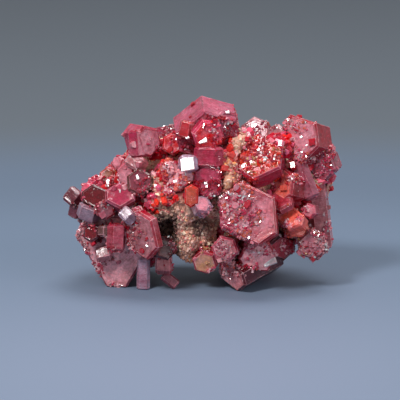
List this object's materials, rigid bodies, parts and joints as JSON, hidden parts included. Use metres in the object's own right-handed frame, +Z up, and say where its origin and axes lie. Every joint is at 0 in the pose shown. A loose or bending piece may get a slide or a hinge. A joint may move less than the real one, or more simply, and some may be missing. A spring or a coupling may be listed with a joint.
{
  "type": "vanadinite crystals on matrix",
  "caption": "Mineral specimen: blocky six-sided red and mauve crystals crowded over a lump of tan rock, resting on crystal edges and a flat foot.",
  "frame": {"origin": "middle of the specimen's footprint box, on the surface it rests on", "axes": "+X to the right along the longest side, -Y to the front, +Z up"},
  "size_m": [0.05, 0.029, 0.0344],
  "materials": {
    "rock": "crumbly granular tan and brown rock",
    "mauve_vanadinite": "dusty mauve crystal faces, resinous gloss",
    "magenta_vanadinite": "magenta red crystal, glassy",
    "crimson_vanadinite": "deep crimson crystal, glassy",
    "red_vanadinite": "bright red crystal, glassy",
    "orange_vanadinite": "orange red crystal, glassy",
    "pink_vanadinite": "pale pink crystal with a sparkling coat",
    "maroon_vanadinite": "dark maroon crystal, glassy"
  },
  "bodies": {
    "root": {"matrix": "rock", "lower_left_plate": "mauve_vanadinite", "left_front_plate": "mauve_vanadinite", "centre_plate": "pink_vanadinite", "top_front_hexagon": "red_vanadinite", "top_crimson_block": "crimson_vanadinite", "top_crystal": "magenta_vanadinite", "upper_left_crystal": "magenta_vanadinite", "top_right_crystal": "pink_vanadinite", "red_druse_plate": "red_vanadinite", "far_right_plate": "crimson_vanadinite", "right_prism": "maroon_vanadinite", "tip_crystal": "maroon_vanadinite", "mauve_crystal": "mauve_vanadinite", "red_brown_crystal": "crimson_vanadinite", "small_right_hexagon": "crimson_vanadinite", "centre_prism": "magenta_vanadinite", "magenta_plate": "magenta_vanadinite", "pink_plate": "pink_vanadinite", "brown_druse_crystal": "mauve_vanadinite", "dark_left_block": "maroon_vanadinite", "maroon_block": "crimson_vanadinite", "lilac_block": "mauve_vanadinite", "left_edge_block": "crimson_vanadinite", "bright_rhomb": "mauve_vanadinite", "brown_cube": "maroon_vanadinite", "dark_brown_block": "maroon_vanadinite", "pale_tab": "pink_vanadinite", "crimson_wedge": "crimson_vanadinite", "standing_prism": "mauve_vanadinite", "fallen_prism": "mauve_vanadinite", "tan_pink_block": "pink_vanadinite", "brown_grey_crystal": "maroon_vanadinite", "ridge_crimson": "crimson_vanadinite", "ridge_orange": "orange_vanadinite", "ridge_red": "red_vanadinite", "ridge_tip": "orange_vanadinite", "grey_square": "mauve_vanadinite", "white_square": "pink_vanadinite", "middle_red_cluster": "red_vanadinite", "red_orange_block": "red_vanadinite", "orange_hexagon": "orange_vanadinite", "grey_lilac_block": "mauve_vanadinite", "top_knob": "orange_vanadinite", "inner_red_crystal": "red_vanadinite", "inner_salmon_crystal": "orange_vanadinite", "salmon_bar": "pink_vanadinite", "pale_pink_block": "pink_vanadinite", "sparkly_hexagon": "pink_vanadinite", "bottom_hexagon": "orange_vanadinite", "back_left_plate": "magenta_vanadinite", "back_top_plate": "crimson_vanadinite", "back_right_plate": "magenta_vanadinite", "back_middle_plate": "mauve_vanadinite", "back_low_plate": "mauve_vanadinite", "back_upper_crystal": "red_vanadinite", "left_back_crystal": "mauve_vanadinite", "right_back_crystal": "crimson_vanadinite", "low_left_back_plate": "mauve_vanadinite", "underside_plate": "maroon_vanadinite"}
  },
  "joints": []
}
